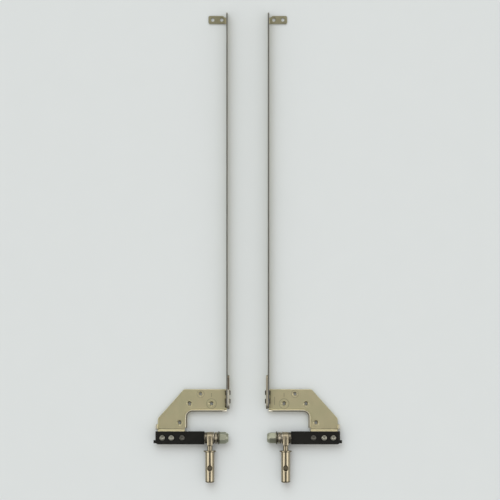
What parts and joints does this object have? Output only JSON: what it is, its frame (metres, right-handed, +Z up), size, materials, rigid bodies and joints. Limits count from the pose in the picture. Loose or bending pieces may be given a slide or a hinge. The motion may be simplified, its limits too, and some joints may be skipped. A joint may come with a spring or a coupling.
{
  "type": "pair of laptop hinges",
  "caption": "Left and right laptop screen hinges: plated lid plates with long side rails, black pivot shafts with friction washers and lock nuts, and turned base posts.",
  "frame": {"origin": "centre of the pair's outline, on the surface that the side rails stand on", "axes": "+X across the pair from the left hinge to the right one, along the hinge axes; +Y along the side rails towards their tips; +Z up from the lid plates"},
  "size_m": [0.1052, 0.2624, 0.0074],
  "materials": {
    "plated_steel": "satin",
    "rail_steel": "satin",
    "rivet_steel": "satin",
    "black_steel": "satin",
    "bright_nickel": "gloss",
    "spring_steel": "satin",
    "dark_steel": "satin",
    "zinc_plate": "satin"
  },
  "bodies": {
    "brackets": {"left_side_rail": "rail_steel", "left_lid_plate": "plated_steel", "left_rail_rivets": "rivet_steel", "left_pivot_shaft": "black_steel", "left_tang_rivets": "rivet_steel", "left_tang_rivet_inner": "black_steel", "left_shoulder_washer": "spring_steel", "left_friction_washer": "spring_steel", "left_disc_spring_1": "spring_steel", "left_disc_spring_2": "spring_steel", "left_thrust_washer": "dark_steel", "left_lock_nut": "zinc_plate", "right_side_rail": "rail_steel", "right_lid_plate": "plated_steel", "right_rail_rivets": "rivet_steel", "right_pivot_shaft": "black_steel", "right_tang_rivets": "rivet_steel", "right_tang_rivet_inner": "black_steel", "right_shoulder_washer": "spring_steel", "right_friction_washer": "spring_steel", "right_disc_spring_1": "spring_steel", "right_disc_spring_2": "spring_steel", "right_thrust_washer": "dark_steel", "right_lock_nut": "zinc_plate"},
    "left_post": {"left_base_post": "bright_nickel"},
    "right_post": {"right_base_post": "bright_nickel"}
  },
  "joints": [
    {"name": "left_post_turn", "type": "hinge", "parent": "brackets", "child": "left_post", "pos_m": [-0.02118, -0.1062, 0.0038], "axis": [1, 0, 0], "range_deg": [-90, 45]},
    {"name": "right_post_turn", "type": "hinge", "parent": "brackets", "child": "right_post", "pos_m": [0.02118, -0.1062, 0.0038], "axis": [1, 0, 0], "range_deg": [-90, 45]}
  ]
}
